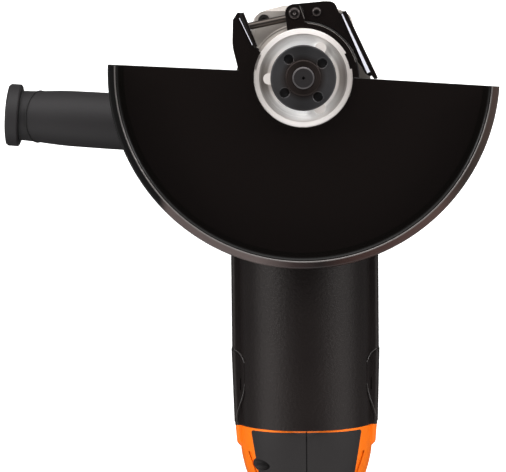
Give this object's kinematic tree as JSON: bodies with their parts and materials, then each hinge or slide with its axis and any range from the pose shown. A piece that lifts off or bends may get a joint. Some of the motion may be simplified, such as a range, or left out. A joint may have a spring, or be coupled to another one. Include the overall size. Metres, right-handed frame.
{
  "type": "angle grinder",
  "caption": "Large corded angle grinder with half-round disc guard, quick-release clamp, side handle and inline rear handle, lying on its back.",
  "frame": {"origin": "on the spindle axis, in the plane of the flat back of the gear case", "axes": "+Z along the spindle towards the disc side, +Y towards the nose, the rear handle towards -Y, the side handle towards -X"},
  "size_m": [0.3232, 0.4921, 0.141],
  "materials": {
    "cast_aluminium": "bead-blasted die casting",
    "machined_casting": "cast, faces turned bright",
    "dark_screws": "black oxide",
    "bright_steel": "ground",
    "felt": "pressed felt",
    "black_rubber": "moulded",
    "black_nylon": "glass-filled, fine texture",
    "lamination_steel": "stacked laminations, varnished",
    "copper_winding": "enamelled copper wire",
    "brass_holder": "pressed",
    "carbon": "pressed carbon",
    "blackened_steel": "black oxide, oiled",
    "black_painted_sheet": "gloss black enamel on pressed sheet",
    "handle_plastic": "satin, slightly soft",
    "orange_nylon": "self-coloured, fine texture",
    "soft_skin": "moulded thermoplastic rubber"
  },
  "bodies": {
    "housing": {"gear_case": "cast_aluminium", "gear_case_screws": "dark_screws", "bearing_flange": "machined_casting", "bearing_flange_screws": "dark_screws", "spindle_bearing_outer_ring": "bright_steel", "spindle_needle_bush": "bright_steel", "dust_ring": "felt", "spindle_lock_spring": "bright_steel", "motor_housing": "black_nylon", "side_cover_left": "black_nylon", "side_cover_right": "black_nylon", "bearing_plate": "cast_aluminium", "air_baffle": "black_nylon", "stator_core": "lamination_steel", "field_coils": "copper_winding", "brush_holders": "brass_holder", "carbon_brushes": "carbon", "brush_springs": "bright_steel", "motor_bearing_outer_rings": "bright_steel", "rear_bearing_boot": "black_rubber", "side_handle_grip": "handle_plastic", "side_handle_stud": "bright_steel", "handle_shell_left": "orange_nylon", "handle_shell_right": "orange_nylon", "grip_skin_left": "soft_skin", "grip_skin_right": "soft_skin", "handle_screws": "dark_screws", "cord_inlet_ring": "black_rubber", "trigger_pin": "bright_steel", "trigger_spring": "bright_steel", "switch_body": "black_nylon", "speed_module": "black_nylon"},
    "spindle_group": {"spindle": "blackened_steel", "spindle_bearing_inner_ring": "bright_steel", "inner_flange": "blackened_steel", "clamp_nut": "blackened_steel", "crown_gear": "bright_steel", "gear_spacer": "bright_steel"},
    "armature": {"armature_shaft": "bright_steel", "armature_core": "lamination_steel", "armature_windings": "copper_winding", "commutator": "copper_winding", "fan": "black_nylon", "pinion": "bright_steel", "pinion_nut": "bright_steel", "motor_bearing_inner_rings": "bright_steel"},
    "spindle_lock": {"spindle_lock_button": "black_nylon", "spindle_lock_pin": "bright_steel"},
    "guard": {"guard_shell": "black_painted_sheet", "clamp_band": "black_painted_sheet", "lever_rivets": "blackened_steel"},
    "lever": {"clamp_lever": "black_painted_sheet"},
    "rod": {"tension_rod": "blackened_steel", "rod_barrel": "blackened_steel", "adjusting_nut": "blackened_steel"},
    "trigger": {"trigger": "black_nylon"},
    "lock_on": {"lock_on_button": "black_nylon"},
    "plunger": {"switch_plunger": "black_nylon"}
  },
  "joints": [
    {"name": "armature_spin", "type": "hinge", "parent": "housing", "child": "armature", "pos_m": [0, -0.104, 0.0465], "axis": [0, 1, 0], "continuous": true},
    {"name": "spindle_spin", "type": "hinge", "parent": "housing", "child": "spindle_group", "pos_m": [0, 0, 0.1], "axis": [0, 0, 1], "continuous": true},
    {"name": "guard_swivel", "type": "hinge", "parent": "housing", "child": "guard", "pos_m": [0, 0, 0.098], "axis": [0, 0, 1], "range_deg": [-86.2, 93.8]},
    {"name": "clamp_lever_swing", "type": "hinge", "parent": "guard", "child": "lever", "pos_m": [-0.00526, 0.04144, 0.0969], "axis": [0, 0, 1], "range_deg": [0, 100]},
    {"name": "tension_rod_swing", "type": "hinge", "parent": "lever", "child": "rod", "pos_m": [0.00902, 0.04219, 0.0969], "axis": [0, 0, 1], "range_deg": [-72, 0]},
    {"name": "spindle_lock_press", "type": "slide", "parent": "housing", "child": "spindle_lock", "axis": [0, 0, 1], "range_m": [0, 0.005], "stiffness_N_per_m": 1000, "deforming": ["spindle_lock_spring"]},
    {"name": "trigger_press", "type": "hinge", "parent": "housing", "child": "trigger", "pos_m": [0, -0.311, 0.0685], "axis": [1, 0, 0], "range_deg": [0, 4], "stiffness_Nm_per_rad": 2, "deforming": ["trigger_spring"]},
    {"name": "lock_on_press", "type": "slide", "parent": "housing", "child": "lock_on", "axis": [1, 0, 0], "range_m": [0, 0.004], "stiffness_N_per_m": 500},
    {"name": "plunger_slide", "type": "slide", "parent": "housing", "child": "plunger", "axis": [0, 0, -1], "range_m": [0, 0.00276]}
  ],
  "couplings": [
    {"joint": "spindle_spin", "follows": "armature_spin", "ratio": 0.25},
    {"joint": "tension_rod_swing", "follows": "clamp_lever_swing", "ratio": -0.72},
    {"joint": "plunger_slide", "follows": "trigger_press", "m_per_rad": 0.0395}
  ]
}
